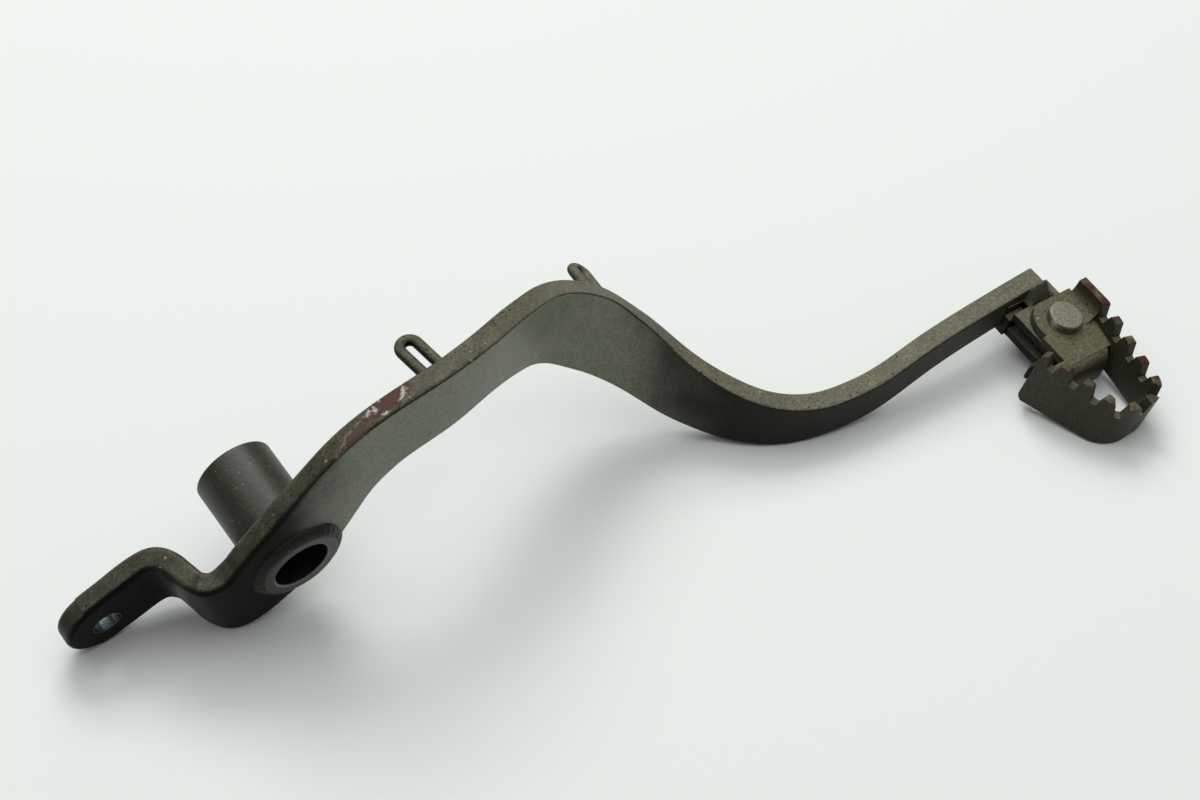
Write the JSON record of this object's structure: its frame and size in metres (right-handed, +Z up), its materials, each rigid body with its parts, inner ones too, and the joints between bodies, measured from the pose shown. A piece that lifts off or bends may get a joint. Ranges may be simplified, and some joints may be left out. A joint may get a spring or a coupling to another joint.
{
  "type": "motorcycle rear brake pedal",
  "caption": "Bent steel brake pedal arm with a pivot tube, a rear rod tab, wire eyes for return springs and a serrated folding toe on a sprung hinge.",
  "frame": {"origin": "on the axis of the pivot tube's bore, at the middle of the tube", "axes": "the pedal as it lies on a level table: +X forward along the pedal to the toe, +Y inward to the bike, +Z up"},
  "size_m": [0.3214, 0.132, 0.0784],
  "materials": {
    "painted_steel": "satin, worn",
    "weld": "satin, painted over",
    "rivet_steel": "worn bright",
    "spring_steel": "oxidised"
  },
  "bodies": {
    "arm": {"rear_lever": "painted_steel", "pedal_arm": "painted_steel", "pivot_tube": "painted_steel", "outer_weld": "weld", "inner_weld": "weld", "rear_wire_loop": "painted_steel", "front_wire_loop": "painted_steel", "tip_bracket": "painted_steel", "bracket_weld": "weld", "hinge_rivet": "rivet_steel", "torsion_spring": "spring_steel"},
    "toe": {"folding_toe": "painted_steel"}
  },
  "joints": [
    {"name": "toe_fold", "type": "hinge", "parent": "arm", "child": "toe", "pos_m": [0.24465, -0.07051, -0.01145], "axis": [-0.1402, 0.2332, -0.9623], "range_deg": [0, 50], "stiffness_Nm_per_rad": 0.4, "springref_deg": -20.05, "deforming": ["torsion_spring"]}
  ]
}
